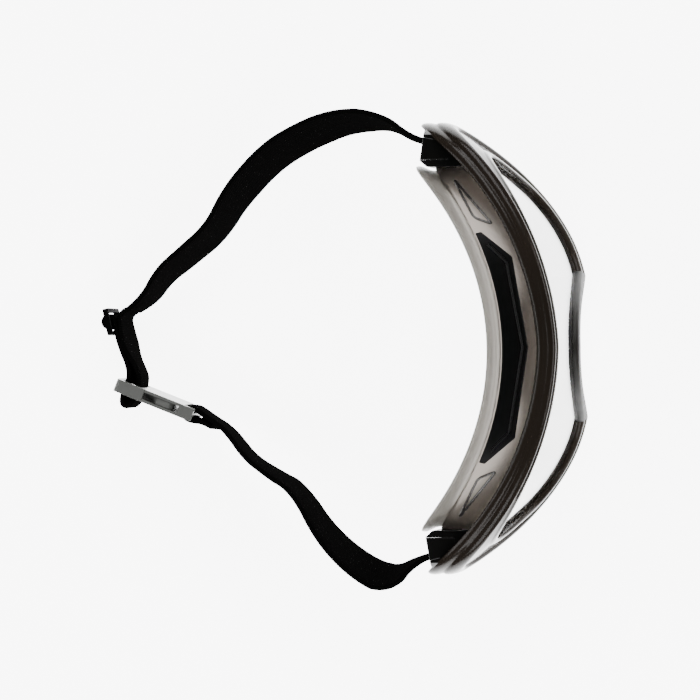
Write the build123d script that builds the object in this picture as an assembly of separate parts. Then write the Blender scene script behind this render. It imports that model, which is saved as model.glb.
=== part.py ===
from build123d import *
import math
import os

# Motorcycle goggles standing on their lower rim, in millimetres.
# +Z is up, the lens faces -Y, the head strap loops towards +Y and +X is the wearer's left.
# The origin is on the surface they stand on, under the middle of the whole object.

# Overall sizes
frame_width = 163.0
frame_height = 74.5
temple_rim = 13.0  # the frame beyond the lens's visible pane, at each temple
upper_rim = 6.2
lower_rim = 6.3
face_inset = 16.5  # the face opening is this much narrower than the frame, on each side
face_top = 4.4
face_base = 1.6

# Curved surfaces seen from above: the front is two arcs that meet in a faint prow
prow_y = -93.75
front_offset = 3.2
front_sweep = 42.3  # from an arc's crown back to the temple
face_middle_y = -68.8
face_sweep = 30.2  # from the middle of the face opening back to its side
lean = 10.0  # degrees: the front and the face surface lean back alike

# Walls and rims
rail_depth = 7.0
front_lip = 2.0
lens_thickness = 2.0
gasket_thickness = 0.9
body_wall = 2.2
lens_overlap = 2.2  # how far the lens reaches behind its rim
seat_gap = 0.1
flange_depth = 4.5
flange_in = 6.5
flange_out = 1.2

# Vents
vent_lip = 1.9  # how far a vent's cover laps the body round its window
vent_cover_height = 1.4
foam_depth = 3.4
top_vent_tip = (41.0, -56.0)
top_vent_corner = (32.0, -67.0)
top_vent_prow = -72.3
bottom_vent_width = 14.0
bottom_vent_depth = 8.0
bottom_vent_x = 41.0
bottom_vent_ahead = 10.95  # in front of the face surface
bottom_vent_turn = 24.0  # degrees

# Snap clips of the lens
clip_width = 5.0
clip_height = 2.0
clip_fit = 0.05
clip_spots = [(21.0, True), (56.0, True), (53.0, False)]  # across, and whether on the upper rail

# Strap
strap_width = 18.0
strap_thickness = 1.9
loop_gap = 0.1
layer_gap = 0.45

# Temple boxes
box_room = 4.1  # spare height inside a box, over and under the webbing together
box_floor = 3.5
cap_thickness = 2.4
box_drop = 1.7  # the box's middle is this far under the frame's widest point
box_reach = 3.5  # how far the box reaches inside the pane's outline
box_side = 1.0  # the box's side is this far inside the frame's
box_front_y = -60.0
box_bevel_y = -41.5  # the side slopes in behind this
box_rear_side = (3.2, -35.5)  # the rear corner: inside the frame's side, and its y
box_rear_y = -33.3
frame_end = -34.5
pin_radius = 1.4
pin_fit = 0.05
pin_inset = 10.3  # from the frame's side to the pin
pin_y = -40.5
pin_skin = 1.0  # plastic left under the pin's foot and over its head
pin_end_gap = 0.2
cavity_gap = 0.4
cavity_flare = 1.6  # the mouth widens outwards, the way the strap leaves
cavity_knee_y = -32.0  # the flare starts here
cavity_mouth_y = -20.0

# Buckle and slider, which stand on edge
buckle_margin = 6.0  # the buckle is this much wider than the webbing
buckle_thickness = 4.8
plug_length = 11.3
socket_length = 20.1
bar_radius = 1.2
bar_at = 5.5
slot_room = 0.7  # a slot is this much wider than the webbing is thick
slot_side_room = 0.5  # beside the webbing, at each edge
plug_corner = 2.0
skin = 1.1
mouth_gap = 0.1
throat = 14.2
tongue_width = 6.4
tongue_reach = 12.0
arm_length = 12.5
knuckle_radius = 1.1
knuckle_x = 0.1
knuckle_inset = 4.0  # from the buckle's edge
slider_length = 10.0
slider_thickness = 2.0
slider_rail = 1.4
slider_end = 2.0
slider_corner = 1.5
slider_bar_radius = 1.0
slider_tail = 7.0  # the strap's sewn tail, from the slider's bar

# Sizes that follow from those
half_frame = frame_width / 2
pane_width = frame_width - 2 * temple_rim
pane_height = frame_height - lower_rim - upper_rim
pane_base = lower_rim
face_width = frame_width - 2 * face_inset
face_height = frame_height - face_base - face_top
body_front = front_lip + lens_thickness + gasket_thickness + 0.3


def arc_radius(half_chord, sweep):
    return (half_chord ** 2 + sweep ** 2) / (2 * sweep)


front_radius = arc_radius(half_frame + front_offset, front_sweep)
front_centre_y = prow_y + math.sqrt(front_radius ** 2 - front_offset ** 2)
face_radius = arc_radius(face_width / 2, face_sweep)
face_centre_y = face_middle_y + face_radius
half_box = (strap_width + box_room + box_floor + cap_thickness) / 2
box_middle = 0.6 * frame_height - box_drop
box_base = box_middle - half_box
box_top = box_middle + half_box
strap_mid = (box_base + box_floor + box_top - cap_thickness) / 2  # strap height at the temples
pin_x = half_frame - pin_inset
cavity_half = pin_radius + loop_gap + strap_thickness + cavity_gap
buckle_width = strap_width + buckle_margin
buckle_mid = buckle_width / 2
slot_width = strap_thickness + slot_room
tongue_thickness = buckle_thickness - 2 * skin - 2 * mouth_gap
knuckle_at = (knuckle_x, buckle_mid - knuckle_inset)
slot_length = strap_width + 2 * slot_side_room
half_mouth = buckle_mid - 0.4
layer_step = bar_radius + loop_gap + strap_thickness / 2
socket_bar_at = -(socket_length - bar_radius)
return_step = strap_thickness + layer_gap
slider_bar_up = return_step + strap_thickness / 2 + loop_gap + slider_thickness / 2

# Outlines seen from the front, as shares of half the width and of the height.
# Each runs from the lower inner corner round the temple to the top, then over the nose.
frame_rim = [(0.32, 0.04), (0.47, 0), (0.64, 0.05), (0.81, 0.19), (0.945, 0.41), (1, 0.6),
             (0.965, 0.74), (0.85, 0.85), (0.66, 0.925), (0.345, 0.987), (0, 1)]
frame_nose = [(0.23, 0.225), (0.12, 0.385), (0, 0.443)]
pane_rim = [(0.409, 0.035), (0.526, 0), (0.67, 0.024), (0.8, 0.123), (0.92, 0.33), (1, 0.585),
            (0.89, 0.79), (0.73, 0.9), (0.38, 0.984), (0, 1)]
pane_nose = [(0.307, 0.22), (0.168, 0.405), (0, 0.495)]
face_rim = [(0.26, 0.118), (0.46, 0), (0.68, 0.06), (0.846, 0.19), (0.97, 0.39), (1, 0.59),
            (0.908, 0.792), (0.677, 0.928), (0.354, 0.986), (0, 1)]
face_nose = [(0.2, 0.247), (0.108, 0.333), (0, 0.376)]


def half_points(shape, width, height, base):
    return [(width / 2 * x, base + height * z) for x, z in shape]


def grown(points, amount):
    """A closed loop of points, each moved outwards by the same amount."""
    moved = []
    for i, (x, z) in enumerate(points):
        before = points[i - 1]
        after = points[(i + 1) % len(points)]
        dx = after[0] - before[0]
        dz = after[1] - before[1]
        size = math.hypot(dx, dz)
        moved.append((x + amount * dz / size, z - amount * dx / size))
    return moved


def outline_wire(kind, grow, y):
    """One outline, grown by an amount, as a wire of a rim curve and a nose curve at depth y."""
    rim_shape, nose_shape, width, height, base = outlines[kind]
    rim = half_points(rim_shape, width, height, base)
    nose = half_points(nose_shape, width, height, base)
    left_rim = [(-x, z) for x, z in reversed(rim[:-1])]
    right_nose = list(reversed(nose[:-1]))
    left_nose = [(-x, z) for x, z in nose[:-1]]
    loop = grown(rim + left_rim + left_nose + [nose[-1]] + right_nose, grow)
    count = len(rim) + len(left_rim)
    points = [(x, y, z) for x, z in loop]
    rim_curve = Spline(*points[:count])
    nose_curve = Spline(*points[count - 1:], points[0])
    return Wire([rim_curve, nose_curve])


outlines = {
    "frame": (frame_rim, frame_nose, frame_width, frame_height, 0.0),
    "pane": (pane_rim, pane_nose, pane_width, pane_height, pane_base),
    "face": (face_rim, face_nose, face_width, face_height, face_base),
}

front_plane = -94.0
rear_plane = -26.0
nearest = -112.0


def prism(kind, grow=0.0, rear=-20.0):
    """The outline carried straight back from in front of the goggles to depth rear."""
    face = Face(outline_wire(kind, grow, nearest))
    return extrude(face, amount=rear - nearest, dir=(0, 1, 0))


def body_loft(grow=0.0):
    """The body's outer form, from the pane's outline in front to the face's outline behind."""
    front = outline_wire("pane", lens_overlap + 0.2 + grow, front_plane)
    rear = outline_wire("face", grow - 0.8, rear_plane)
    return Solid.make_loft([front, rear], ruled=True)


def leaning(shape):
    return Rot(X=-lean) * shape


def behind_front(depth):
    """Everything behind the front surface, from a depth under it."""
    radius = front_radius - depth
    right = Pos(-front_offset, front_centre_y, 30) * Cylinder(radius, 260)
    left = Pos(front_offset, front_centre_y, 30) * Cylinder(radius, 260)
    return leaning(right & left)


def face_cylinder(depth):
    """The space of the wearer's face, or a larger one that stands off it by a depth."""
    return leaning(Pos(0, face_centre_y, 30) * Cylinder(face_radius + depth, 260))


def mirrored(shape):
    return mirror(shape, about=Plane.YZ)


# ---- face flange, body and vents ----

def make_flange():
    ring = prism("face", flange_out) - prism("face", -flange_in)
    return ring & (face_cylinder(flange_depth) - face_cylinder(0))


def top_vent_plan(inset):
    """The chevron-fronted top vent seen from above."""
    half = [(top_vent_tip[0] - 2, top_vent_tip[1] + 8), top_vent_tip, top_vent_corner]
    points = half + [(0.0, top_vent_prow)] + [(-x, y) for x, y in reversed(half)]
    face = make_face(Polyline(*points, close=True))
    if inset:
        face = offset(face, amount=-inset, kind=Kind.INTERSECTION)
    block = extrude(Pos(0, 0, frame_height * 0.75) * face, amount=frame_height / 2, dir=(0, 0, 1))
    return block - face_cylinder(flange_depth + 1.1 + inset)


def bottom_vent_block(side, inset):
    """The place of one air inlet under a cheek."""
    width = bottom_vent_width - 2 * inset
    depth = bottom_vent_depth - 2 * inset
    y = face_centre_y - math.sqrt(face_radius ** 2 - bottom_vent_x ** 2) - bottom_vent_ahead
    return Pos(side * bottom_vent_x, y, 0) * Rot(Z=side * bottom_vent_turn) * Box(width, depth, 30.0)


def make_body():
    shell = body_loft() - body_loft(-body_wall)
    shell = shell & behind_front(body_front)
    shell = shell - face_cylinder(flange_depth + 0.05)
    shell = shell - top_vent_plan(vent_lip)
    for side in (1, -1):
        shell = shell - bottom_vent_block(side, vent_lip)
    return shell


def make_vent(block):
    """A cover that lies on the body and the foam that fills the window under it."""
    cover = (body_loft(vent_cover_height) - body_loft(0.02)) & block(0.0)
    foam = (body_loft(-0.05) - body_loft(-foam_depth)) & block(vent_lip + seat_gap)
    return cover, foam


# ---- front frame, nose bridge, lens, gasket and clips ----

def nose_block(grow):
    """The middle of the lower rim, between its two corners, seen from the front."""
    corner_x = half_frame * frame_rim[0][0] + grow
    corner_z = frame_height * frame_rim[0][1]
    pane_x = pane_width / 2 * pane_rim[0][0] + grow
    pane_z = pane_base + pane_height * pane_rim[0][1]
    right = [(corner_x, -20), (corner_x, corner_z), (pane_x, pane_z), (20 + grow, 46 + grow)]
    loop = [(x, nearest, z) for x, z in right] + [(-x, nearest, z) for x, z in reversed(right)]
    face = make_face(Polyline(*loop, close=True))
    return extrude(face, amount=90, dir=(0, 1, 0))


def box_plan(grow):
    """A temple box seen from above, on the wearer's left."""
    inner = pane_width / 2 - box_reach
    side = half_frame - box_side + grow
    points = [
        (inner, box_rear_y + grow),
        (half_frame - box_rear_side[0] + grow, box_rear_side[1] + grow),
        (side, box_bevel_y),
        (side, box_front_y),
        (inner, box_front_y),
    ]
    return make_face(Polyline(*points, close=True))


def box_block(grow):
    height = box_top - box_base + 2 * grow
    return extrude(Pos(0, 0, box_base - grow) * box_plan(grow), amount=height, dir=(0, 0, 1))


def rail_middle(x, top):
    frame_pts = half_points(frame_rim, frame_width, frame_height, 0.0)
    pane_pts = half_points(pane_rim, pane_width, pane_height, pane_base)
    return (height_at(frame_pts, x, top) + height_at(pane_pts, x, top)
            + (lens_overlap if top else -lens_overlap)) / 2


def height_at(points, x, top):
    """The height of a half outline at x, on its top or its bottom run."""
    found = []
    for (x0, z0), (x1, z1) in zip(points, points[1:]):
        if min(x0, x1) <= x <= max(x0, x1) and x0 != x1:
            found.append(z0 + (z1 - z0) * (x - x0) / (x1 - x0))
    return max(found) if top else min(found)


def clip_blocks(grow):
    blocks = []
    for x, top in clip_spots:
        for side in (1, -1):
            spot = Pos(side * x, -75, rail_middle(x, top))
            blocks.append(spot * Box(clip_width + 2 * grow, 70, clip_height + 2 * grow))
    return blocks


def make_ring():
    ring = prism("frame", 0, frame_end) - prism("pane", 0, frame_end)
    ring = ring & (behind_front(0) - behind_front(rail_depth))
    pocket = prism("pane", lens_overlap + seat_gap) & behind_front(front_lip)
    ring = ring - pocket
    ring = ring - (body_loft(seat_gap) & behind_front(body_front - 0.2))
    for side in (1, -1):
        block = box_block(seat_gap) & behind_front(rail_depth / 2)
        ring = ring - (block if side == 1 else mirrored(block))
    for block in clip_blocks(clip_fit):
        ring = ring - (block & behind_front(front_lip + 0.6))
    return ring


def make_clips():
    band = behind_front(front_lip + 0.7) - behind_front(rail_depth)
    inside = body_loft(seat_gap) + prism("pane", lens_overlap + seat_gap)
    shapes = [(block & band & prism("frame", -0.4)) - inside for block in clip_blocks(0)]
    return Compound(children=[solid for shape in shapes for solid in shape.solids()])


def make_lens():
    pane = prism("pane", lens_overlap)
    return pane & (behind_front(front_lip + 0.05) - behind_front(front_lip + lens_thickness))


def make_gasket():
    start = front_lip + lens_thickness + 0.05
    ring = prism("pane", lens_overlap) - prism("pane", 0.4)
    return ring & (behind_front(start) - behind_front(start + gasket_thickness))


# ---- temple boxes ----

def cavity_plan(grow):
    front = pin_y - cavity_half + 0.1 - grow
    inside = pin_x - cavity_half - grow
    outside = pin_x + cavity_half + grow
    points = [
        (inside, cavity_mouth_y),
        (outside + cavity_flare, cavity_mouth_y),
        (outside + cavity_flare, cavity_knee_y),
        (outside, pin_y + 2.0),
        (outside, front),
        (inside, front),
    ]
    return make_face(Polyline(*points, close=True))


def box_form():
    block = box_block(0) & behind_front(rail_depth / 2 + seat_gap)
    block = block & prism("frame", -0.6)
    block = block - body_loft(seat_gap) - face_cylinder(flange_depth + seat_gap)
    return block - prism("pane", lens_overlap + 0.3, -46.0)


def pin_bore(low, high):
    """The round hole for a temple pin, between two heights."""
    return Pos(pin_x, pin_y, (low + high) / 2) * Cylinder(pin_radius + pin_fit, high - low)


def make_box():
    floor = box_base + box_floor
    cavity = extrude(Pos(0, 0, floor) * cavity_plan(0), amount=box_top, dir=(0, 0, 1))
    return box_form() - cavity - pin_bore(box_base + pin_skin, box_top)


def make_cap():
    plan = Pos(0, 0, box_top - cap_thickness) * cavity_plan(-seat_gap)
    lid = extrude(plan, amount=cap_thickness, dir=(0, 0, 1))
    lid = lid & box_block(0) & prism("frame", -0.6)
    return lid - pin_bore(box_base, box_top - pin_skin)


def make_pin():
    bottom = box_base + pin_skin + pin_end_gap
    top = box_top - pin_skin - pin_end_gap
    return Pos(pin_x, pin_y, (bottom + top) / 2) * Cylinder(pin_radius, top - bottom)


# ---- webbing ----

def strap_path(points, tight=None):
    """Straight runs joined by the largest tangent arcs that they allow."""
    radii = []
    for before, corner, after in zip(points, points[1:], points[2:]):
        back = Vector(*corner) - Vector(*before)
        ahead = Vector(*after) - Vector(*corner)
        turn = math.radians(back.get_angle(ahead))
        radii.append(0.45 * min(back.length, ahead.length) / math.tan(turn / 2))
    if tight:
        for index, radius in tight.items():
            radii[index] = radius
    return FilletPolyline(*[(x, y, 0) for x, y in points], radius=radii)


def band(points, low, high, tight=None):
    """Webbing on edge: its thickness carried along a path seen from above, from low to high."""
    path = strap_path(points, tight)
    start = Plane(origin=path @ 0, x_dir=(0, 0, 1), z_dir=path % 0)
    section = start * Pos((low + high) / 2, 0, 0) * Rectangle(high - low, strap_thickness)
    return sweep(section, path=path)


def ring_on(x, y, inner, low, high):
    """A round loop of webbing about a pin or bar."""
    tube = Cylinder(inner + strap_thickness, high - low)
    return Pos(x, y, (low + high) / 2) * tube


def side_slope(route):
    """The webbing's upper and lower edge seen from the side, as a prism across the object."""
    half = strap_width / 2
    upper = [(0, y, z + half) for y, z in route]
    lower = [(0, y, z - half) for y, z in reversed(route)]
    face = make_face(Polyline(*upper, *lower, close=True))
    return extrude(Pos(-150, 0, 0) * face, amount=300, dir=(1, 0, 0))


buckle_origin = (-15.7, 74.0)
buckle_along = Vector(0.381, 0.925, 0).normalized()  # from the socket towards the plug's free end
slider_origin = (12.8, 82.6)
slider_along = Vector(-0.982, -0.19, 0).normalized()  # from the slider towards the buckle


def standing_frame(origin, along):
    """Local x along the webbing, y up and z through the thickness."""
    return Plane(
        origin=(origin[0], origin[1], buckle_mid),
        x_dir=along,
        z_dir=along.cross(Vector(0, 0, 1)),
    ).location


buckle = standing_frame(buckle_origin, buckle_along)
slider = standing_frame(slider_origin, slider_along)


def on(frame, along, through):
    """A point of a local frame, seen from above."""
    spot = (frame * Pos(along, 0, through)).position
    return (spot.X, spot.Y)


# The webbing's routes seen from above: the first points go with the temple pins
long_route = [
    (pin_x, pin_y), (pin_x + 4.0, -31.0), (pin_x + 12.0, -20.5), (pin_x + 12.8, -5.0), (79.5, 9.5),
    (72.0, 24.0), (58.0, 38.0), (45.0, 46.0), (35.5, 58.5), (29.0, 67.0), (20.0, 73.0), (16.4, 78.9),
]
short_route = [
    (-pin_x, pin_y), (-pin_x - 4.0, -31.0), (-pin_x - 13.0, -20.0), (-79.5, -8.5), (-68.0, 4.5),
    (-51.0, 15.0), (-45.0, 25.5), (-39.5, 34.0), (-30.5, 41.5), (-25.6, 50.5),
]
long_drop = [(-60, strap_mid), (-32, strap_mid), (20, 27), (58, 15), (95, buckle_mid)]
short_drop = [(-60, strap_mid), (-32, strap_mid), (5, 33), (36, 20), (52, buckle_mid), (70, buckle_mid)]


def eyed_strap(points, drop, eye):
    """Webbing whose first end is sewn round a temple pin."""
    strap = band(points, -5, 70) + ring_on(eye[0], eye[1], pin_radius + loop_gap, -5, 70)
    strap = strap - Pos(eye[0], eye[1], 30) * Cylinder(pin_radius + loop_gap, 200)
    return strap & side_slope(drop)


def make_long_strap():
    return eyed_strap(long_route, long_drop, (pin_x, pin_y))


def make_short_strap():
    bar_x, bar_y = on(buckle, socket_bar_at, 0)
    tail_x, tail_y = on(buckle, socket_bar_at - 5.5, 0)
    points = short_route + [(tail_x, tail_y), (bar_x, bar_y)]
    strap = eyed_strap(points, short_drop, (-pin_x, pin_y))
    low = buckle_mid - strap_width / 2
    strap = strap + ring_on(bar_x, bar_y, bar_radius + loop_gap, low, low + strap_width)
    return strap - Pos(bar_x, bar_y, 12) * Cylinder(bar_radius + loop_gap, 60)


def make_strap_run():
    """The outgoing layer from the slider, through the plug and loosely round its bar."""
    inner = bar_at - layer_step
    outer = bar_at + layer_step
    turn = -(4.1 + layer_step)
    points = [(16.3, 79.2), (14.9, 83.0), (7.0, 81.5), (0.5, 79.9), (-5.5, 76.9),
              on(buckle, inner, 4.5), on(buckle, inner, turn), on(buckle, outer, turn),
              on(buckle, outer, 0.6)]
    low = buckle_mid - strap_width / 2
    bend = layer_step - 0.05
    return band(points, low, low + strap_width, {5: bend, 6: bend})


def make_strap_return():
    """The layer that comes back from the plug's bar to the slider."""
    outer = bar_at + layer_step
    points = [on(buckle, outer, 0.9), on(buckle, outer, 4.6), on(slider, 14.45, return_step - 0.17),
              on(slider, slider_tail + 0.3, return_step)]
    low = buckle_mid - strap_width / 2
    return band(points, low, low + strap_width)


def make_end_loop():
    """The strap's sewn end: a loop round the slider's middle bar and a short tail."""
    inner = slider_bar_radius + loop_gap
    outer = inner + strap_thickness
    loop = Pos(0, 0, slider_bar_up) * Rot(X=90) * Cylinder(outer, strap_width)
    tail_z = slider_bar_up - inner - strap_thickness / 2
    tail = Pos(slider_tail / 2, 0, tail_z) * Box(slider_tail, strap_width, strap_thickness)
    bore = Pos(0, 0, slider_bar_up) * Rot(X=90) * Cylinder(inner, strap_width + 2)
    return slider * (loop + tail - bore)


def make_slider():
    """A frame with two slots and a round middle bar."""
    height = slot_length + 2 * slider_end
    plate = Box(slider_length, height, slider_thickness)
    plate = fillet(plate.edges().filter_by(Axis.Z), slider_corner)
    window = Box(slider_length - 2 * slider_rail, slot_length, slider_thickness + 2)
    bar = Rot(X=90) * Cylinder(slider_bar_radius, slot_length + slider_end)
    return slider * Pos(0, 0, slider_bar_up) * (plate - window + bar)


# ---- side-release buckle ----

def make_plug():
    """The adjuster end: two slots, a middle bar, a tongue and recesses for the release arms."""
    block = Pos(plug_length / 2, 0, 0) * Box(plug_length, buckle_width, buckle_thickness)
    block = fillet(block.edges().filter_by(Axis.Z).group_by(Axis.X)[-1], plug_corner)
    slots_from = bar_at - bar_radius - slot_width
    slots_to = bar_at + bar_radius + slot_width
    opening = Pos((slots_from + slots_to) / 2, 0, 0) * Box(slots_to - slots_from, slot_length, 9)
    bar = Pos(bar_at, 0, 0) * Rot(X=90) * Cylinder(bar_radius, slot_length + 1)
    tongue = Pos((1 - tongue_reach) / 2, 0, 0) * Box(1 + tongue_reach, tongue_width, tongue_thickness)
    plug = block - opening + bar + tongue
    for side in (1, -1):
        height = tongue_thickness + 2 * mouth_gap
        room = Pos(knuckle_at[0], side * knuckle_at[1], 0) * Cylinder(knuckle_radius + 0.1, height)
        neck = Pos(0, side * knuckle_at[1], 0) * Box(2 * knuckle_radius, 3.0, height)
        plug = plug - room - neck
    return buckle * plug


def make_arm(side):
    """A release arm: a knuckle in the plug, a neck and a thumb pad."""
    x0, y0 = knuckle_at
    points = [(x0, y0 - 0.9), (x0, y0 + 0.9), (-3.6, y0 + 0.9), (-5.6, half_mouth), (-10.4, half_mouth),
              (-arm_length, half_mouth - 2.4), (-arm_length, y0 - 0.9)]
    plate = extrude(make_face(Polyline(*points, close=True)), amount=tongue_thickness / 2, both=True)
    arm = plate + Pos(x0, y0, 0) * Cylinder(knuckle_radius, tongue_thickness)
    if side < 0:
        arm = mirror(arm, about=Plane.XZ)
    return buckle * arm


def make_socket():
    """Two skins joined behind the arms, with a bar for the short strap at the far end."""
    block = Pos(-socket_length / 2, 0, 0) * Box(socket_length - 0.3, buckle_width, buckle_thickness)
    mouth = Pos(-throat / 2, 0, 0) * Box(throat, buckle_width + 2, buckle_thickness - 2 * skin)
    inner_face = socket_bar_at + bar_radius + slot_width - 0.4
    slot = Pos(inner_face - 10, 0, 0) * Box(20, slot_length, buckle_thickness + 4)
    bar = Pos(socket_bar_at, 0, 0) * Rot(X=90) * Cylinder(bar_radius, slot_length + 1)
    return buckle * (block - mouth - slot + bar)


# ---- write every piece ----

def build():
    ring = make_ring()
    top_cover, top_foam = make_vent(top_vent_plan)
    pieces = {
        "face_flange": make_flange(),
        "body_shell": make_body(),
        "front_frame": ring - nose_block(0.05),
        "nose_bridge": ring & nose_block(0),
        "lens": make_lens(),
        "lens_gasket": make_gasket(),
        "lens_clips": make_clips(),
        "top_vent_cover": top_cover,
        "top_vent_foam": top_foam,
        "strap_long": make_long_strap(),
        "strap_short": make_short_strap(),
        "strap_run": make_strap_run(),
        "strap_return": make_strap_return(),
        "strap_end_loop": make_end_loop(),
        "strap_slider": make_slider(),
        "buckle_plug": make_plug(),
        "buckle_socket": make_socket(),
        "release_arm_upper": make_arm(1),
        "release_arm_lower": make_arm(-1),
    }
    low = Box(400, 400, frame_height, align=(Align.CENTER, Align.CENTER, Align.MIN))
    low = Pos(0, 0, -frame_height / 2) * low
    for name, side in (("left", 1), ("right", -1)):
        cover, foam = make_vent(lambda inset: bottom_vent_block(side, inset) & low)
        pieces["bottom_vent_cover_" + name] = cover
        pieces["bottom_vent_foam_" + name] = foam
    temple = {"strap_box_": make_box(), "strap_box_cap_": make_cap(), "strap_pin_": make_pin()}
    for name, shape in temple.items():
        pieces[name + "left"] = shape
        pieces[name + "right"] = mirrored(shape)
    return pieces


os.makedirs("parts", exist_ok=True)
for name, shape in build().items():
    export_step(shape, "parts/" + name + ".step")
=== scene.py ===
import math
import bpy
import bmesh
import numpy as np
from mathutils import Matrix, Vector
from mathutils.bvhtree import BVHTree


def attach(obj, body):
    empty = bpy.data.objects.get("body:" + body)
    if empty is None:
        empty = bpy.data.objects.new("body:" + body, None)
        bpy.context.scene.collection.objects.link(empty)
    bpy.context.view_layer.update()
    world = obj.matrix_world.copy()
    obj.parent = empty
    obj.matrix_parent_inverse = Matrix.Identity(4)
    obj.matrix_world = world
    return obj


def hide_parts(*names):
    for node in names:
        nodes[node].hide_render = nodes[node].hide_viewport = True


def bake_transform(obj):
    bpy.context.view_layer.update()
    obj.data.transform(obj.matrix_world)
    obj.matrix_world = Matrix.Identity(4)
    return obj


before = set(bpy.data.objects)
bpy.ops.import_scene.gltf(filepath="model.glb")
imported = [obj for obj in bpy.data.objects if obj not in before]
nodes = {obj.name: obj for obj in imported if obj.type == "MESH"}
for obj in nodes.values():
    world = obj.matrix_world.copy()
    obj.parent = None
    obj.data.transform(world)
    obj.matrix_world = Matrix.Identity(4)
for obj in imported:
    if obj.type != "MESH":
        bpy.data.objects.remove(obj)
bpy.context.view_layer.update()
mm = 0.001  # shapes below are worked out in millimetres


# each outline runs from its lower inner corner round the temple to the top, as shares of half width and height
outlines = {
    "frame": {
        "width": 163.0, "height": 74.5, "base": 0.0,
        "rim": [(0.32, 0.04), (0.47, 0), (0.64, 0.05), (0.81, 0.19), (0.945, 0.41), (1, 0.6),
                (0.965, 0.74), (0.85, 0.85), (0.66, 0.925), (0.345, 0.987), (0, 1)],
        "nose": [(0.23, 0.225), (0.12, 0.385), (0, 0.443)],
    },
    "pane": {
        "width": 137.0, "height": 62.0, "base": 6.3,
        "rim": [(0.409, 0.035), (0.526, 0), (0.67, 0.024), (0.8, 0.123), (0.92, 0.33), (1, 0.585),
                (0.89, 0.79), (0.73, 0.9), (0.38, 0.984), (0, 1)],
        "nose": [(0.307, 0.22), (0.168, 0.405), (0, 0.495)],
    },
    "face": {
        "width": 130.0, "height": 68.5, "base": 1.6,
        "rim": [(0.26, 0.118), (0.46, 0), (0.68, 0.06), (0.846, 0.19), (0.97, 0.39), (1, 0.59),
                (0.908, 0.792), (0.677, 0.928), (0.354, 0.986), (0, 1)],
        "nose": [(0.2, 0.247), (0.108, 0.333), (0, 0.376)],
    },
}
curves = {
    "frontRadius": 105.95, "frontCentre": 12.15, "frontOffset": 3.2,
    "faceRadius": 85.05, "faceCentre": 16.25,
    "lean": math.radians(10),
    "rimSamples": 420, "noseSamples": 90,
}


# natural cubic spline through the points by chord length, then samples evenly spaced along it
def smoothCurve(points, samples):
    points = np.array(points, float)
    knots = np.r_[0, np.cumsum(np.linalg.norm(np.diff(points, axis=0), axis=1))]
    step = np.diff(knots)
    count = len(points)
    system = np.eye(count)
    right = np.zeros_like(points)
    inner = np.arange(1, count - 1)
    system[inner, inner - 1] = step[:-1]
    system[inner, inner] = 2 * (step[:-1] + step[1:])
    system[inner, inner + 1] = step[1:]
    slope = np.diff(points, axis=0) / step[:, None]
    right[inner] = 6 * np.diff(slope, axis=0)
    bend = np.linalg.solve(system, right)
    t = np.linspace(0, knots[-1], samples * 6)
    k = np.clip(np.searchsorted(knots, t, side="right") - 1, 0, count - 2)
    a = ((knots[k + 1] - t) / step[k])[:, None]
    b = 1 - a
    size = (step[k] ** 2)[:, None] / 6
    curved = ((a ** 3 - a) * bend[k] + (b ** 3 - b) * bend[k + 1]) * size
    return evenly(a * points[k] + b * points[k + 1] + curved, samples)


# the same line, with samples evenly spaced along its length
def evenly(dense, samples):
    along = np.r_[0, np.cumsum(np.linalg.norm(np.diff(dense, axis=0), axis=1))]
    spots = np.linspace(0, along[-1], samples)
    return np.stack([np.interp(spots, along, dense[:, i]) for i in range(dense.shape[1])], axis=1)


# the closed outline in the x z plane: round the rim from corner to corner, then back over the nose
def outlineLoop(name):
    shape = outlines[name]
    scale = np.array([shape["width"] / 2, shape["height"]])
    rim = np.array(shape["rim"]) * scale + [0, shape["base"]]
    nose = np.array(shape["nose"]) * scale + [0, shape["base"]]
    flip = np.array([-1, 1])
    rimLine = smoothCurve(np.vstack([rim, (rim[:-1] * flip)[::-1]]), curves["rimSamples"])
    noseLoop = np.vstack([rim[:1] * flip, nose[:-1] * flip, nose[::-1], rim[:1]])
    noseLine = smoothCurve(noseLoop, curves["noseSamples"])
    return np.vstack([rimLine, noseLine[1:-1]])


# unit normals of a closed loop, pointing out of it
def outward(loop):
    along = np.roll(loop, -1, axis=0) - np.roll(loop, 1, axis=0)
    normal = np.stack([along[:, 1], -along[:, 0]], axis=1)
    return normal / np.linalg.norm(normal, axis=1)[:, None]


# a depth line carried up the leaning surface: depth over cos(lean), plus height times tan(lean)
def leaned(depthLine, z):
    return depthLine / math.cos(curves["lean"]) + z * math.tan(curves["lean"])


# y of the front surface: two arcs that cross at the prow, sunk by depth and leaning back
def frontY(x, z, depth):
    radius = curves["frontRadius"] - depth
    reach = np.minimum(np.abs(x) + curves["frontOffset"], radius - 1)
    return leaned(curves["frontCentre"] - np.sqrt(radius ** 2 - reach ** 2), z)


# y of the face surface: one arc, standing off the face by depth and leaning back
def faceY(x, z, depth):
    radius = curves["faceRadius"] + depth
    return leaned(curves["faceCentre"] - np.sqrt(radius ** 2 - x ** 2), z)


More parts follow.
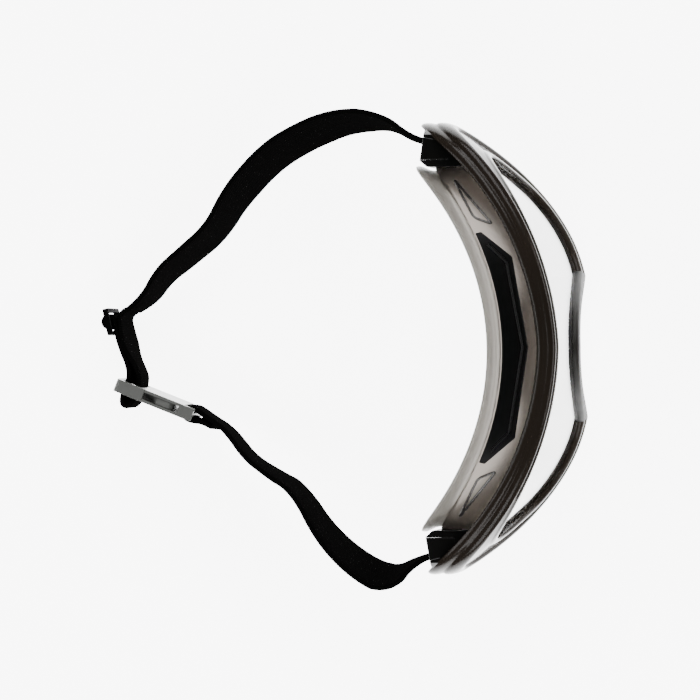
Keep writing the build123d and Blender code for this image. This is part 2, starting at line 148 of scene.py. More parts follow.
# a grid of points (rows along, columns across) as quads, closed either way, with flat end caps if asked
def makeMesh(name, grid, closeAlong, closeAcross, caps=False, uv=None):
    rows, columns = grid.shape[:2]
    index = np.arange(rows * columns).reshape(rows, columns)
    r = np.arange(rows if closeAlong else rows - 1)
    c = np.arange(columns if closeAcross else columns - 1)
    r, c = np.meshgrid(r, c, indexing="ij")
    r2, c2 = (r + 1) % rows, (c + 1) % columns
    quads = np.stack([index[r, c], index[r2, c], index[r2, c2], index[r, c2]], axis=-1).reshape(-1, 4)
    faces = quads.tolist()
    if caps:
        faces.append(index[0].tolist())
        faces.append(index[-1][::-1].tolist())
    mesh = bpy.data.meshes.new(name)
    mesh.from_pydata((grid.reshape(-1, 3) * mm).tolist(), [], faces)
    if uv is not None:
        layer = mesh.uv_layers.new(name="length")
        loops = np.zeros(len(mesh.loops), np.int32)
        mesh.loops.foreach_get("vertex_index", loops)
        layer.data.foreach_set("uv", uv.reshape(-1, 2)[loops].astype(np.float32).ravel())
    mesh.validate()
    return addObject(name, mesh)


def addObject(name, mesh):
    piece = bpy.data.objects.new(name, mesh)
    bpy.context.scene.collection.objects.link(piece)
    faceOut(mesh)
    mesh.polygons.foreach_set("use_smooth", np.ones(len(mesh.polygons), bool))
    return piece


def faceOut(mesh):
    work = bmesh.new()
    work.from_mesh(mesh)
    bmesh.ops.recalc_face_normals(work, faces=work.faces)
    work.to_mesh(mesh)
    work.free()


# smooth shading that breaks at edges sharper than an angle
def sharpen(piece, degrees):
    piece.data.set_sharp_from_angle(angle=math.radians(degrees))


# a merged copy of a CAD piece with its edges rounded, which stands for it
def refined(node, name, bevel, segments=2, limit=28):
    mesh = nodes[node].data.copy()
    mesh.name = name
    work = bmesh.new()
    work.from_mesh(mesh)
    bmesh.ops.remove_doubles(work, verts=work.verts, dist=2e-6)
    bmesh.ops.dissolve_limit(work, angle_limit=math.radians(1.0), verts=work.verts, edges=work.edges)
    bmesh.ops.recalc_face_normals(work, faces=work.faces)
    work.to_mesh(mesh)
    work.free()
    mesh.materials.clear()
    piece = addObject(name, mesh)
    edges = piece.modifiers.new("roundEdges", "BEVEL")
    edges.width = bevel * mm
    edges.segments = segments
    edges.limit_method = "ANGLE"
    edges.angle_limit = math.radians(limit)
    edges.harden_normals = True
    sharpen(piece, 35)
    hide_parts(node)
    return piece


# finish and body of one piece; with no body it is left unattached
def dress(piece, body, material):
    piece.data.materials.clear()
    piece.data.materials.append(material)
    if body:
        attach(piece, body)
    return piece


def splitAcross(a, b, share):
    return a + (b - a) * share


# a Principled material with its plain values set on the shader's own sockets
def newMaterial(name, values):
    material = bpy.data.materials.new(name)
    material.use_nodes = True
    shader = material.node_tree.nodes["Principled BSDF"]
    for socket, value in values.items():
        shader.inputs[socket].default_value = value
    return material, material.node_tree, shader


def addNode(tree, kind, values=None, **settings):
    node = tree.nodes.new(kind)
    for key, value in settings.items():
        setattr(node, key, value)
    for socket, value in (values or {}).items():
        node.inputs[socket].default_value = value
    return node


# object coordinates, stretched along the axes
def objectPlace(tree, stretch=(1, 1, 1)):
    place = addNode(tree, "ShaderNodeTexCoord")
    mapping = addNode(tree, "ShaderNodeMapping", {"Scale": stretch})
    tree.links.new(place.outputs["Object"], mapping.inputs["Vector"])
    return mapping.outputs["Vector"]


def noiseAt(tree, place, scale, detail=3.0, roughness=0.55):
    noise = addNode(tree, "ShaderNodeTexNoise", {"Scale": scale, "Detail": detail, "Roughness": roughness})
    tree.links.new(place, noise.inputs["Vector"])
    return noise.outputs["Fac"]


def spread(tree, value, low, high, fromLow=0.3, fromHigh=0.7):
    ranged = addNode(tree, "ShaderNodeMapRange",
                     {"From Min": fromLow, "From Max": fromHigh, "To Min": low, "To Max": high})
    tree.links.new(value, ranged.inputs["Value"])
    return ranged.outputs["Result"]


def mixColour(tree, share, first, second):
    mixed = addNode(tree, "ShaderNodeMix", data_type="RGBA")
    mixed.inputs[6].default_value = (*first, 1)
    mixed.inputs[7].default_value = (*second, 1)
    tree.links.new(share, mixed.inputs[0])
    return mixed.outputs[2]


def bumpFrom(tree, shader, height, strength, distance, under=None):
    bump = addNode(tree, "ShaderNodeBump", {"Strength": strength, "Distance": distance})
    tree.links.new(height, bump.inputs["Height"])
    if under:
        tree.links.new(under, bump.inputs["Normal"])
    tree.links.new(bump.outputs["Normal"], shader.inputs["Normal"])
    return bump.outputs["Normal"]


# moulded plastic: slow colour drift, a fine skin, and rubbed patches that are a little rougher
def mouldedPlastic(name, look):
    material, tree, shader = newMaterial(name, {
        "IOR": look.get("ior", 1.49), "Transmission Weight": look["clear"], "Coat Weight": look["coat"],
        "Coat Roughness": 0.06, "Specular IOR Level": look.get("gloss", 0.5)})
    place = objectPlace(tree)
    drift = spread(tree, noiseAt(tree, place, look["driftScale"]), 0, 1)
    tree.links.new(mixColour(tree, drift, look["colour"], look["shade"]), shader.inputs["Base Color"])
    rubbed = noiseAt(tree, place, 260, 4)
    tree.links.new(spread(tree, rubbed, look["rough"] * 0.92, look["rough"] * 1.1), shader.inputs["Roughness"])
    skin = noiseAt(tree, place, look["grainScale"], 2)
    bumpFrom(tree, shader, skin, look["grain"], 0.00008)
    return material


plastics = {
    "smokeBody": {
        "colour": (0.19, 0.17, 0.152), "shade": (0.165, 0.148, 0.133), "clear": 0.7, "coat": 0.0,
        "ior": 1.25, "gloss": 0.3, "rough": 0.3, "grain": 0.03, "grainScale": 900, "driftScale": 14,
    },
    # painted shade: this dark finish on the ribs stands for the shade along the body's moulded steps
    "paintedShadeLine": {
        "colour": (0.05, 0.046, 0.042), "shade": (0.035, 0.032, 0.03), "clear": 0.3, "coat": 0.3,
        "rough": 0.2, "grain": 0.03, "grainScale": 900, "driftScale": 14,
    },
    "paleFlange": {
        "colour": (0.33, 0.312, 0.285), "shade": (0.3, 0.284, 0.258), "clear": 0.45, "coat": 0.0,
        "ior": 1.25, "gloss": 0.3, "rough": 0.32, "grain": 0.03, "grainScale": 1100, "driftScale": 14,
    },
    "smokeRim": {
        "colour": (0.02, 0.0155, 0.012), "shade": (0.014, 0.011, 0.0085), "clear": 0.3, "coat": 0.0,
        "ior": 1.2, "gloss": 0.5, "rough": 0.16, "grain": 0.02, "grainScale": 700, "driftScale": 20,
    },
    "noseMatte": {
        "colour": (0.009, 0.009, 0.0075), "shade": (0.007, 0.0065, 0.0054), "clear": 0.0, "coat": 0.0,
        "gloss": 0.2, "rough": 0.5, "grain": 0.2, "grainScale": 1500, "driftScale": 40,
    },
    "clipSmoke": {
        "colour": (0.012, 0.01, 0.009), "shade": (0.008, 0.007, 0.006), "clear": 0.3, "coat": 0.1,
        "rough": 0.15, "grain": 0.06, "grainScale": 900, "driftScale": 60,
    },
    "gasketGrey": {
        "colour": (0.06, 0.056, 0.052), "shade": (0.05, 0.047, 0.043), "clear": 0.2, "coat": 0.0,
        "gloss": 0.2, "rough": 0.6, "grain": 0.3, "grainScale": 1400, "driftScale": 60,
    },
    "ventBlack": {
        "colour": (0.0012, 0.0012, 0.0012), "shade": (0.002, 0.002, 0.002), "clear": 0.0, "coat": 0.0,
        "gloss": 0.15, "rough": 0.3, "grain": 0.1, "grainScale": 1600, "driftScale": 50,
    },
    "boxBlack": {
        "colour": (0.0022, 0.0022, 0.002), "shade": (0.004, 0.004, 0.0036), "clear": 0.0, "coat": 0.05,
        "gloss": 0.25, "rough": 0.2, "grain": 0.06, "grainScale": 800, "driftScale": 60,
    },
    "sliderBlack": {
        "colour": (0.0008, 0.0008, 0.0008), "shade": (0.0012, 0.0012, 0.0012), "clear": 0.0,
        "coat": 0.0, "gloss": 0.03, "rough": 0.85, "grain": 0.2, "grainScale": 1600, "driftScale": 80,
    },
    "buckleGrey": {
        "colour": (0.09, 0.092, 0.088), "shade": (0.076, 0.078, 0.074), "clear": 0.0, "coat": 0.0,
        "ior": 1.25, "gloss": 0.35, "rough": 0.25, "grain": 0.05, "grainScale": 1000, "driftScale": 90,
    },
}
made = {name: mouldedPlastic(name, look) for name, look in plastics.items()}


# clear polycarbonate with the faintest wiping haze
def lensMaterial():
    material, tree, shader = newMaterial("clearLens", {
        "Base Color": (0.975, 0.985, 0.99, 1), "IOR": 1.45, "Transmission Weight": 1.0, "Coat Weight": 0.3,
        "Coat Roughness": 0.03})
    place = objectPlace(tree, (1, 1, 6))
    haze = noiseAt(tree, place, 60, 5, 0.65)
    tree.links.new(spread(tree, haze, 0.01, 0.06), shader.inputs["Roughness"])
    return material


# knitted elastic: ribs along the webbing, rows of picks across it, both from the piece's own length map
def webbingMaterial():
    material, tree, shader = newMaterial("webbing", {
        "Roughness": 0.95, "Specular IOR Level": 0.0})
    place = addNode(tree, "ShaderNodeUVMap", uv_map="length")
    split = addNode(tree, "ShaderNodeSeparateXYZ")
    tree.links.new(place.outputs["UV"], split.inputs["Vector"])

    def waveOf(output, perMillimetre, phase=None):
        scaled = addNode(tree, "ShaderNodeMath", operation="MULTIPLY")
        scaled.inputs[1].default_value = perMillimetre * 2 * math.pi
        tree.links.new(output, scaled.inputs[0])
        last = scaled.outputs[0]
        if phase:
            shifted = addNode(tree, "ShaderNodeMath", operation="ADD")
            tree.links.new(last, shifted.inputs[0])
            tree.links.new(phase, shifted.inputs[1])
            last = shifted.outputs[0]
        wave = addNode(tree, "ShaderNodeMath", operation="SINE")
        tree.links.new(last, wave.inputs[0])
        return wave.outputs[0]

    ribs = waveOf(split.outputs["Y"], 0.9)
    zigzag = addNode(tree, "ShaderNodeMath", operation="MULTIPLY")
    zigzag.inputs[1].default_value = 1.6
    tree.links.new(ribs, zigzag.inputs[0])
    picks = waveOf(split.outputs["X"], 1.15, zigzag.outputs[0])
    weave = addNode(tree, "ShaderNodeMath", operation="ADD")
    tree.links.new(ribs, weave.inputs[0])
    tree.links.new(picks, weave.inputs[1])
    fuzz = noiseAt(tree, objectPlace(tree), 2600, 3)
    rough = addNode(tree, "ShaderNodeMath", operation="ADD")
    tree.links.new(weave.outputs[0], rough.inputs[0])
    tree.links.new(fuzz, rough.inputs[1])
    bumpFrom(tree, shader, rough.outputs[0], 0.6, 0.00012)
    # painted shade: the colour darkens in the weave's grooves and lightens on its raised threads
    grooveShade = spread(tree, weave.outputs[0], 0, 1, -1.6, 1.8)
    black = mixColour(tree, grooveShade, (0.001, 0.001, 0.001), (0.003, 0.0029, 0.0028))
    tree.links.new(black, shader.inputs["Base Color"])
    return material


# open-cell foam: painted shade in the small pores, which are darker than the lighter struts, and the same pores as
# bumps
def foamMaterial():
    material, tree, shader = newMaterial("ventFoam", {"Roughness": 0.95, "Sheen Weight": 0.2})
    cells = addNode(tree, "ShaderNodeTexVoronoi", {"Scale": 1300.0})
    tree.links.new(objectPlace(tree), cells.inputs["Vector"])
    poreDepthAndShade = spread(tree, cells.outputs["Distance"], 0, 1, 0.05, 0.5)
    tree.links.new(mixColour(tree, poreDepthAndShade, (0.004, 0.004, 0.004), (0.03, 0.03, 0.03)), shader.inputs["Base Color"])
    bumpFrom(tree, shader, poreDepthAndShade, 0.8, 0.0003)
    return material


# drawn steel pin: fine rings round it
def steelMaterial():
    material, tree, shader = newMaterial("pinSteel", {"Metallic": 1.0, "Base Color": (0.62, 0.62, 0.63, 1)})
    rings = noiseAt(tree, objectPlace(tree, (1, 1, 60)), 90, 2)
    tree.links.new(spread(tree, rings, 0.22, 0.4), shader.inputs["Roughness"])
    bumpFrom(tree, shader, rings, 0.2, 0.00003)
    return material


def floorMaterial():
    # painted pool of light: the floor itself glows, strongest near the middle, and fades to matt white further out
    material, tree, shader = newMaterial("paleFloorGlow", {
        "Roughness": 0.9, "Specular IOR Level": 0.1, "Emission Color": (1.0, 1.0, 1.0, 1)})
    reach = addNode(tree, "ShaderNodeVectorMath", operation="LENGTH")
    tree.links.new(objectPlace(tree), reach.inputs[0])
    tree.links.new(spread(tree, reach.outputs["Value"], 7.0, 0.2, 0.3, 0.7), shader.inputs["Emission Strength"])
    cloud = noiseAt(tree, objectPlace(tree), 3, 2)
    tree.links.new(mixColour(tree, cloud, (0.93, 0.93, 0.93), (0.95, 0.95, 0.95)), shader.inputs["Base Color"])
    return material


made["clearLens"] = lensMaterial()
made["webbing"] = webbingMaterial()
made["ventFoam"] = foamMaterial()
made["pinSteel"] = steelMaterial()
print("materials made", len(made))


view = {
    "target": (0, -4, 25), "distance": 1150.0, "lens": 160.5,
    "tilt": math.radians(6.5), "roll": math.radians(-0.9),
}


lamps = {
    "softLeft": {"place": (-0.2, 0.95, 0.8), "target": (0, 0, 0.03), "size": (1.2, 0.5), "energy": 14},
    "softFront": {"place": (0.1, -0.95, 0.85), "target": (0, -0.05, 0.04), "size": (1.2, 0.4), "energy": 12},
    "stripSide": {"place": (0.9, -0.1, 0.7), "target": (0, 0, 0.03), "size": (0.3, 1.0), "energy": 9},
    "stripFar": {"place": (-0.9, -0.1, 0.7), "target": (0, 0, 0.03), "size": (0.3, 1.0), "energy": 9},
}


def makeCamera():
    tilt, roll = view["tilt"], view["roll"]
    look = Vector((0, math.sin(tilt), -math.cos(tilt)))
    right = Vector((0, -math.cos(tilt), -math.sin(tilt)))
    up = Vector((1, 0, 0))
    right, up = right * math.cos(roll) + up * math.sin(roll), up * math.cos(roll) - right * math.sin(roll)
    camera = bpy.data.objects.new("camera", bpy.data.cameras.new("camera"))
    bpy.context.scene.collection.objects.link(camera)
    turn = Matrix((right, up, -look)).transposed().to_4x4()
    camera.matrix_world = Matrix.Translation((Vector(view["target"]) - look * view["distance"]) * mm) @ turn
    camera.data.lens = view["lens"]
    camera.data.clip_start = 0.05
    bpy.context.scene.camera = camera


def addLight(name, place, target, size, energy):
    lamp = bpy.data.lights.new(name, "AREA")
    lamp.shape = "RECTANGLE"
    lamp.size, lamp.size_y = size
    lamp.energy = energy
    holder = bpy.data.objects.new(name, lamp)
    bpy.context.scene.collection.objects.link(holder)
    holder.location = place
    holder.rotation_euler = (Vector(target) - Vector(place)).to_track_quat("-Z", "Y").to_euler()


def makeStage():
    mesh = bpy.data.meshes.new("floor")
    half = 3.0
    mesh.from_pydata([(-half, -half, 0), (half, -half, 0), (half, half, 0), (-half, half, 0)], [], [(0, 1, 2, 3)])
    floor = bpy.data.objects.new("floor", mesh)
    bpy.context.scene.collection.objects.link(floor)
    floor.data.materials.append(floorMaterial())
    world = bpy.data.worlds.new("studio")
    world.use_nodes = True
    tree = world.node_tree
    place = addNode(tree, "ShaderNodeTexCoord")
    split = addNode(tree, "ShaderNodeSeparateXYZ")
    tree.links.new(place.outputs["Generated"], split.inputs["Vector"])
    sky = spread(tree, split.outputs["Z"], 0.7, 0.35, 0.25, 0.85)  # dim overhead
    tree.links.new(sky, tree.nodes["Background"].inputs["Strength"])
    bpy.context.scene.world = world
    for name, lamp in lamps.items():
        addLight(name, lamp["place"], lamp["target"], lamp["size"], lamp["energy"])


makeCamera()
makeStage()
print("camera, floor and light")


# one row a point of the rim's section: share of the way from pane to edge, offset that scales with the rim's
# width, fixed offset, and depth behind the front
rimSection = [
    (0, 0.0, 0, 1.5), (0, 0.0, 0, 0.8), (0, 0.12, 0, 0.45), (0, 0.35, 0, 0.2), (0, 0.8, 0, 0.03), (0, 1.3, 0, 0.0),
    (0, 1.8, 0, 0.1), (0, 2.15, 0, 0.4), (0, 2.4, 0, 0.75), (1, -2.5, 0, 0.85), (1, -2.2, 0, 0.5),
    (1, -1.8, 0, 0.15), (1, -1.2, 0, 0.0), (1, -0.7, 0, 0.15), (1, -0.3, 0, 0.6), (1, -0.08, 0, 1.2),
    (1, 0, 0, 1.9), (1, 0, -0.1, 2.6), (1, 0, -0.42, 3.1), (1, 0, -0.42, 3.5), (1, 0, -0.1, 4.0), (1, 0, 0, 4.7),
    (1, 0, -0.15, 5.5), (1, 0, -0.5, 6.2), (1, 0, -1.0, 6.75), (1, 0, -1.6, 6.98), (0, 0, 4.0, 6.98),
    (0, 0, 3.2, 6.9), (0, 0, 2.95, 6.6), (0, 0, 2.95, 5.1), (0, 0, 2.4, 4.95), (0, 0, 2.35, 2.05), (0, 0, 0.1, 2.05),
]
noseSection = [
    (0, 0.0, 0, 1.5), (0, 0.0, 0, 0.9), (0, 0.15, 0, 0.45), (0, 0.5, 0, 0.15), (0, 1.0, 0, 0.02), (1, -1.1, 0, 0.0),
    (1, -0.6, 0, 0.1), (1, -0.2, 0, 0.45), (1, 0, 0, 1.1), (1, 0, 0, 5.9), (1, 0, -0.2, 6.5), (1, 0, -0.7, 6.98),
    (0, 0, 3.1, 6.98), (0, 0, 2.95, 6.6), (0, 0, 2.95, 5.1), (0, 0, 2.4, 4.95), (0, 0, 2.35, 2.05), (0, 0, 0.1, 2.05),
]


# the section carried round part of the frame, between the pane's outline and the frame's
def sweptRim(name, section, picked):
    inner = outlineLoop("pane")
    outer = outlineLoop("frame")
    across = outer - inner
    width = np.linalg.norm(across, axis=1)
    unit = across / width[:, None]
    scale = np.clip(width / 6.2, 0.62, 1.25)
    rows = np.array(section)
    distance = rows[:, 0] * width[:, None] + rows[:, 1] * scale[:, None] + rows[:, 2]
    x = inner[:, 0:1] + unit[:, 0:1] * distance
    z = inner[:, 1:2] + unit[:, 1:2] * distance
    y = frontY(x, z, rows[:, 3] + 0 * x)
    grid = np.stack([x, y, z], axis=-1)[picked]
    piece = makeMesh(name, grid, False, True, caps=True)
    sharpen(piece, 42)
    return piece


def makeFrameRim():
    rim = np.arange(curves["rimSamples"])
    nose = np.r_[curves["rimSamples"] - 1, curves["rimSamples"] + np.arange(curves["noseSamples"] - 2), 0]
    front = sweptRim("frontFrame", rimSection, rim)
    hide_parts("front_frame")
    dress(front, "goggles", made["smokeRim"])
    bridge = sweptRim("noseBridge", noseSection, nose)
    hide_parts("nose_bridge")
    dress(bridge, "goggles", made["noseMatte"])


makeFrameRim()
print("frame rim and nose bridge")


# offset out from the face opening's outline, and depth in front of the wearer's face
flangeSection = [
    (1.15, 1.0), (1.0, 0.45), (0.55, 0.12), (-0.2, 0.03), (-1.5, 0.1), (-3.0, 0.3), (-5.0, 0.55), (-6.1, 0.8),
    (-6.45, 1.15), (-6.2, 1.55), (-5.0, 1.75), (-3.6, 1.95), (-3.05, 2.3), (-2.9, 3.0), (-2.9, 4.1), (-2.7, 4.42),
    (-1.1, 4.42), (-0.75, 4.15), (-0.6, 3.2), (-0.3, 2.3), (0.2, 1.75), (0.85, 1.5), (1.12, 1.28),
]


# the soft lip: its section carried round the face opening on the curve of the face
def makeFlange():
    loop = outlineLoop("face")
    normal = outward(loop)
    rows = np.array(flangeSection)
    x = loop[:, 0:1] + normal[:, 0:1] * rows[:, 0]
    z = loop[:, 1:2] + normal[:, 1:2] * rows[:, 0]
    y = faceY(x, z, rows[:, 1] + 0 * x)
    piece = makeMesh("faceFlange", np.stack([x, y, z], axis=-1), True, True)
    sharpen(piece, 50)
    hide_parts("face_flange")
    dress(piece, "goggles", made["paleFlange"])


makeFlange()
print("face flange")


rib = {"height": 0.55, "half": 0.45, "steps": 26}


# a CAD piece's surface, ready for rays
def surfaceTree(node):
    mesh = nodes[node].data
    points = [v.co for v in mesh.vertices]
    return BVHTree.FromPolygons(points, [p.vertices for p in mesh.polygons])


# heights of the surface under each point of a plan path, and the unit normals there
def onTop(tree, path):
    hits = [tree.ray_cast(Vector((x * mm, y * mm, 0.2)), Vector((0, 0, -1))) for x, y in path]
    z = np.array([hit[0].z / mm for hit in hits])
    normal = np.array([list(hit[1]) for hit in hits])
    return z, normal * np.sign(normal[:, 2:3])


# a rounded rib standing on the surface: a half-round section carried along a plan path
def ridge(name, tree, path, closed, half, height):
    path = np.array(path)
    z, normal = onTop(tree, path)
    spots = np.c_[path, z]
    if closed:
        along = np.roll(spots, -1, axis=0) - np.roll(spots, 1, axis=0)
    else:
        along = np.gradient(spots, axis=0)
    along /= np.linalg.norm(along, axis=1)[:, None]
    side = np.cross(along, normal)
    side /= np.linalg.norm(side, axis=1)[:, None]
    turn = np.linspace(0, math.pi, 7)
    across = np.r_[np.cos(turn) * half, -half * 0.7, half * 0.7]
    lift = np.r_[np.sin(turn) * height, -0.25, -0.25]
    grid = (spots[:, None] + side[:, None] * across[None, :, None] + normal[:, None] * lift[None, :, None])
    return makeMesh(name, grid, closed, True, caps=not closed)


# a closed plan path: quarter-way arcs at each corner, straight between them
def roundedTriangle(corners, radius, steps):
    path = []
    for i in range(3):
        before, corner, after = (np.array(corners[(i + k) % 3]) for k in (-1, 0, 1))
        start = corner + (before - corner) / np.linalg.norm(before - corner) * radius
        end = corner + (after - corner) / np.linalg.norm(after - corner) * radius
        t = np.linspace(0, 1, 9)[:, None]
        path.append((1 - t) ** 2 * start + 2 * t * (1 - t) * corner + t ** 2 * end)
        follow = np.array(corners[(i + 1) % 3])
        nextStart = follow + (corner - follow) / np.linalg.norm(corner - follow) * radius
        path.append(splitAcross(end, nextStart, np.linspace(0, 1, steps)[1:-1, None]))
    return np.vstack(path)


def makeBody():
    body = nodes["body_shell"]
    body.data.materials.clear()
    body.data.materials.append(made["smokeBody"])
    tree = surfaceTree("body_shell")
    corners = [(60.5, -45.6), (43.6, -60.0), (46.2, -53.4)]
    for side, name in ((1, "left"), (-1, "right")):
        path = roundedTriangle(corners, 1.6, rib["steps"]) * [side, 1]
        # painted shade: the triangle ribs are dark to stand for the shade at the moulded steps
        piece = ridge("bodyTriangle_" + name, tree, path, True, rib["half"], rib["height"])
        dress(piece, "goggles", made["paintedShadeLine"])


def makeVents():
    cover = refined("top_vent_cover", "topVentCover", 0.35, 3)
    dress(cover, "goggles", made["ventBlack"])
    tree = surfaceTree("top_vent_cover")
    chevron = [(36.5, -58.4), (30.2, -65.0), (0, -70.3), (-30.2, -65.0), (-36.5, -58.4)]
    path = np.vstack([splitAcross(np.array(a), np.array(b), np.linspace(0, 1, 30)[:-1, None])
                      for a, b in zip(chevron, chevron[1:])] + [np.array(chevron[-1:])])
    line = ridge("topVentRidge", tree, path, False, 0.5, 0.5)
    dress(line, "goggles", made["ventBlack"])
    for side in ("left", "right"):
        piece = refined("bottom_vent_cover_" + side, "bottomVentCover_" + side, 0.3, 3)
        dress(piece, "goggles", made["ventBlack"])


makeBody()
makeVents()
print("body and vents")


# open-cell foam: its voxels remeshed fine and its edges softened, since it is a stiff pad under a cover
def makeFoam(node, name):
    source = nodes[node]
    mesh = source.data.copy()
    mesh.name = name
    work = bmesh.new()
    work.from_mesh(mesh)
    bmesh.ops.remove_doubles(work, verts=work.verts, dist=2e-6)
    bmesh.ops.recalc_face_normals(work, faces=work.faces)
    work.to_mesh(mesh)
    work.free()
    mesh.materials.clear()
    piece = addObject(name, mesh)
    remesh = piece.modifiers.new("remesh", "REMESH")
    remesh.mode = "VOXEL"
    remesh.voxel_size = 0.0006
    smooth = piece.modifiers.new("soften", "SMOOTH")
    smooth.factor = 0.6
    smooth.iterations = 4
    bpy.context.view_layer.update()
    finished = bpy.data.meshes.new_from_object(piece.evaluated_get(bpy.context.evaluated_depsgraph_get()))
    piece.modifiers.clear()
    piece.data = finished
    finished.name = name
    finished.polygons.foreach_set("use_smooth", np.ones(len(finished.polygons), bool))
    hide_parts(node)
    return dress(piece, "goggles", made["ventFoam"])


makeFoam("top_vent_foam", "topVentFoam")
makeFoam("bottom_vent_foam_left", "bottomVentFoam_left")
makeFoam("bottom_vent_foam_right", "bottomVentFoam_right")
print("vent foam")


# a CAD piece whose shape is right, with its finish
def carry(node, material):
    piece = nodes[node]
    piece.data.materials.clear()
    piece.data.materials.append(made[material])


def makeLensParts():
    carry("lens", "clearLens")
    carry("lens_gasket", "gasketGrey")
    clips = refined("lens_clips", "lensClips", 0.25, 2)
    dress(clips, "goggles", made["clipSmoke"])


makeLensParts()
print("lens, gasket and clips")


def makeBoxes():
    for side in ("left", "right"):
        box = refined("strap_box_" + side, "strapBox_" + side, 0.5, 3)
        dress(box, "goggles", made["boxBlack"])
        cap = refined("strap_box_cap_" + side, "strapBoxCap_" + side, 0.3, 3)
        dress(cap, "goggles", made["boxBlack"])
        pin = refined("strap_pin_" + side, "strapPin_" + side, 0.25, 3)
        dress(pin, "goggles", made["pinSteel"])


makeBoxes()
print("temple boxes")


web = {"width": 18.0, "thickness": 1.8, "pinX": 71.2, "pinY": -40.5, "pinLoop": 2.45, "spacing": 0.7}
buckleFrame = {"origin": (-15.7, 74.0), "along": (0.38085, 0.92464), "through": (0.92464, -0.38085)}
sliderFrame = {"origin": (12.8, 82.6), "along": (-0.98179, -0.18996), "through": (-0.18996, 0.98179)}
standing = 12.0  # height of the middle of the buckle and slider


def placeOn(local, along, through):
    origin, a, n = (np.array(local[key]) for key in ("origin", "along", "through"))
    return tuple(origin + a * along + n * through)


# a quadratic B-spline with these control points: each corner's arc runs from middle to middle of its runs
def quadraticLine(points):
    points = np.array(points, float)
    middle = (points[1:] + points[:-1]) / 2
    middle[0], middle[-1] = points[0], points[-1]
    t = np.linspace(0, 1, 40)[:-1, None]
    start, corner, end = middle[:-1, None], points[1:-1, None], middle[1:, None]
    arcs = (1 - t) ** 2 * start + 2 * t * (1 - t) * corner + t ** 2 * end
    return np.vstack([arcs.reshape(-1, points.shape[1]), points[-1:]])


# webbing: a rounded strip carried along the route, leaning out of the upright by an angle at each station
# drop is its height by y or by share of the length, lean its angle by share of the length
def ribbon(name, route, drop, lean, outwards=1.0):
    line = quadraticLine(route)
    length = np.linalg.norm(np.diff(line, axis=0), axis=1).sum()
    line = evenly(line, max(24, int(length / web["spacing"])))
    share = np.linspace(0, 1, len(line))
    if "share" in drop:
        z = np.interp(share, *np.array(drop["share"]).T)
    else:
        z = np.interp(line[:, 1], *np.array(drop["y"]).T)
    soft = np.ones(15) / 15
    padded = np.r_[np.full(7, z[0]), z, np.full(7, z[-1])]
    z = np.convolve(padded, soft, "valid")
    centre = np.c_[line, z]
    tangent = np.gradient(centre, axis=0)
    tangent /= np.linalg.norm(tangent, axis=1)[:, None]
    upright = np.array([0, 0, 1.0]) - tangent * tangent[:, 2:3]
    upright /= np.linalg.norm(upright, axis=1)[:, None]
    side = np.cross(tangent, upright) * outwards
    angle = np.radians(np.interp(share, *np.array(lean).T))[:, None]
    wide = np.cos(angle) * upright + np.sin(angle) * side
    thick = np.cross(tangent, wide)
    half, thin = web["width"] / 2, web["thickness"] / 2
    corner = np.radians([0, 30, 60, 90])
    edge = np.c_[half - thin * 0.6 + thin * 0.6 * np.cos(corner), thin * np.sin(corner)]
    flat = np.linspace(half - thin * 0.6, -half + thin * 0.6, 11)[1:-1]
    ribs = thin * (1 + 0.05 * np.cos(flat * 2 * math.pi / 3.4))
    upper = np.vstack([edge, np.c_[flat, ribs], (edge * [-1, 1])[::-1]])
    section = np.vstack([upper, (upper * [1, -1])[::-1][1:-1]])
    grid = centre[:, None] + wide[:, None] * section[None, :, 0:1] + thick[:, None] * section[None, :, 1:2]
    along = np.linspace(0, np.linalg.norm(np.diff(centre, axis=0), axis=1).sum(), len(line))
    uv = np.stack(np.broadcast_arrays(along[:, None], section[None, :, 0]), axis=-1)
    piece = makeMesh(name, grid, False, True, caps=True, uv=uv)
    sharpen(piece, 60)
    return piece, along[-1] * mm, (centre, tangent, wide, thick)


# points round a temple pin, from the sewn end to where the webbing leaves it
def pinLoop(side):
    angles = np.radians(np.array([55, 90, 130, 170, 210, 250, 290, 320]))
    return [(side * (web["pinX"] + web["pinLoop"] * math.cos(a)), web["pinY"] + web["pinLoop"] * math.sin(a))
            for a in angles]


templeHeight = 43.55
longStrap = {
    "route": [(75.6, -31.0), (83.2, -20.5), (84.0, -5.0), (79.5, 9.5), (72.0, 24.0), (58.0, 38.0), (45.0, 46.0),
              (35.5, 58.5), (29.0, 67.0), (20.0, 73.0), (16.4, 78.9)],
    "drop": {"y": [(-60, templeHeight), (-32, templeHeight), (20, 27), (58, 15), (75, standing)]},
    "lean": [(0, 0), (0.13, 0), (0.18, 3), (0.22, 9), (0.27, 20), (0.37, 30), (0.48, 32), (0.6, 30), (0.72, 22),
             (0.86, 18), (0.95, 10), (1, 4)],
}
shortStrap = {
    "route": [(-75.6, -31.0), (-84.2, -20.0), (-79.5, -8.5), (-68.0, 4.5), (-51.0, 15.0), (-45.0, 25.5),
              (-39.5, 34.0), (-30.5, 41.5)],
    "drop": {"y": [(-60, templeHeight), (-32, templeHeight), (5, 33), (36, 20), (50, standing), (90, standing)]},
    "lean": [(0, 0), (0.13, 0), (0.17, 5), (0.21, 15), (0.26, 30), (0.32, 27), (0.4, 22), (0.48, 16), (0.56, 10),
             (0.65, 5), (0.75, 2), (0.8, 0), (1, 0)],
}

plugBar = {  # the webbing's way to the plug and round its middle bar
    "inner": 3.25, "outer": 7.75, "turn": -6.35, "lean": [(0, 3), (0.3, 8), (0.45, 0), (1, 0)],
    "lead": [(16.3, 79.2), (14.9, 83.0), (7.0, 81.5), (0.5, 79.9), (-5.5, 76.9)],
}
sliderBar = {"up": 4.4, "wrap": 2.05, "tail": 7.2, "bend": 3.0, "turns": (-90, -400, -25)}  # the sewn end


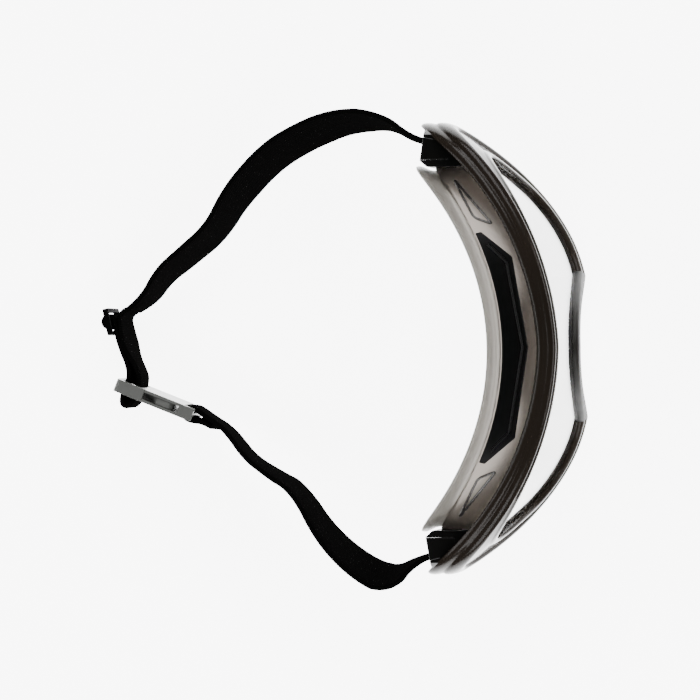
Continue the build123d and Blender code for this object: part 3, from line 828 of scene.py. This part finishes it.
def makeStraps():
    long, length, _ = ribbon("strapLong", pinLoop(1) + longStrap["route"], longStrap["drop"], longStrap["lean"])
    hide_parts("strap_long")
    dress(long, None, made["webbing"])
    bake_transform(long)

    bar = [(-30.0, 0.3), (-25.5, 1.0), (-21.2, 2.0), (-19.6, 2.3), (-17.6, 2.2), (-16.6, 1.0), (-16.6, -1.0),
           (-17.6, -2.2), (-19.6, -2.3), (-21.2, -1.9), (-25.0, -1.1), (-28.6, -1.7)]
    route = pinLoop(-1) + shortStrap["route"] + [placeOn(buckleFrame, a, n) for a, n in bar]
    short, length, _ = ribbon("strapShort", route, shortStrap["drop"], shortStrap["lean"], -1.0)
    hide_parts("strap_short")
    dress(short, "goggles", made["webbing"])

    flat = {"share": [(0, standing), (1, standing)]}
    inner, outer, turn = (plugBar[key] for key in ("inner", "outer", "turn"))
    path = plugBar["lead"] + [placeOn(buckleFrame, a, n) for a, n in
                              ((inner, 4.5), (inner, turn), (outer, turn), (outer, 0.6))]
    run, length, _ = ribbon("strapRun", path, flat, plugBar["lean"])
    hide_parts("strap_run")
    dress(run, "plug", made["webbing"])

    path = [placeOn(buckleFrame, outer, 0.9), placeOn(buckleFrame, outer, 4.6),
            placeOn(sliderFrame, 14.45, 2.18), placeOn(sliderFrame, 7.3, 2.35)]
    back, length, _ = ribbon("strapReturn", path, flat, [(0, 0), (0.5, 6), (1, 0)])
    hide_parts("strap_return")
    dress(back, None, made["webbing"])
    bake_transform(back)

    barUp, wrap = sliderBar["up"], sliderBar["wrap"]
    turns = np.radians(np.arange(*sliderBar["turns"]))
    around = [(wrap * math.cos(a), barUp + wrap * math.sin(a)) for a in turns]
    tail = [(sliderBar["tail"], barUp - wrap), (sliderBar["bend"], barUp - wrap)]
    path = [placeOn(sliderFrame, a, n) for a, n in tail + around]
    loop, length, _ = ribbon("strapEndLoop", path, flat, [(0, 0), (1, 0)])
    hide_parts("strap_end_loop")
    dress(loop, "slider", made["webbing"])


makeStraps()
print("webbing")


def makeBuckle():
    for node, name, body, slot, look, bevel in (
        ("strap_slider", "strapSlider", "slider", "slider_black", "sliderBlack", 0.4),
        ("buckle_plug", "bucklePlug", "plug", "buckle_grey", "buckleGrey", 0.3),
        ("buckle_socket", "buckleSocket", "goggles", "buckle_grey", "buckleGrey", 0.35),
        ("release_arm_upper", "releaseArm_upper", "arm_upper", "buckle_grey", "buckleGrey", 0.25),
        ("release_arm_lower", "releaseArm_lower", "arm_lower", "buckle_grey", "buckleGrey", 0.25),
    ):
        dress(refined(node, name, bevel, 3), body, made[look])


makeBuckle()
print("slider and buckle")
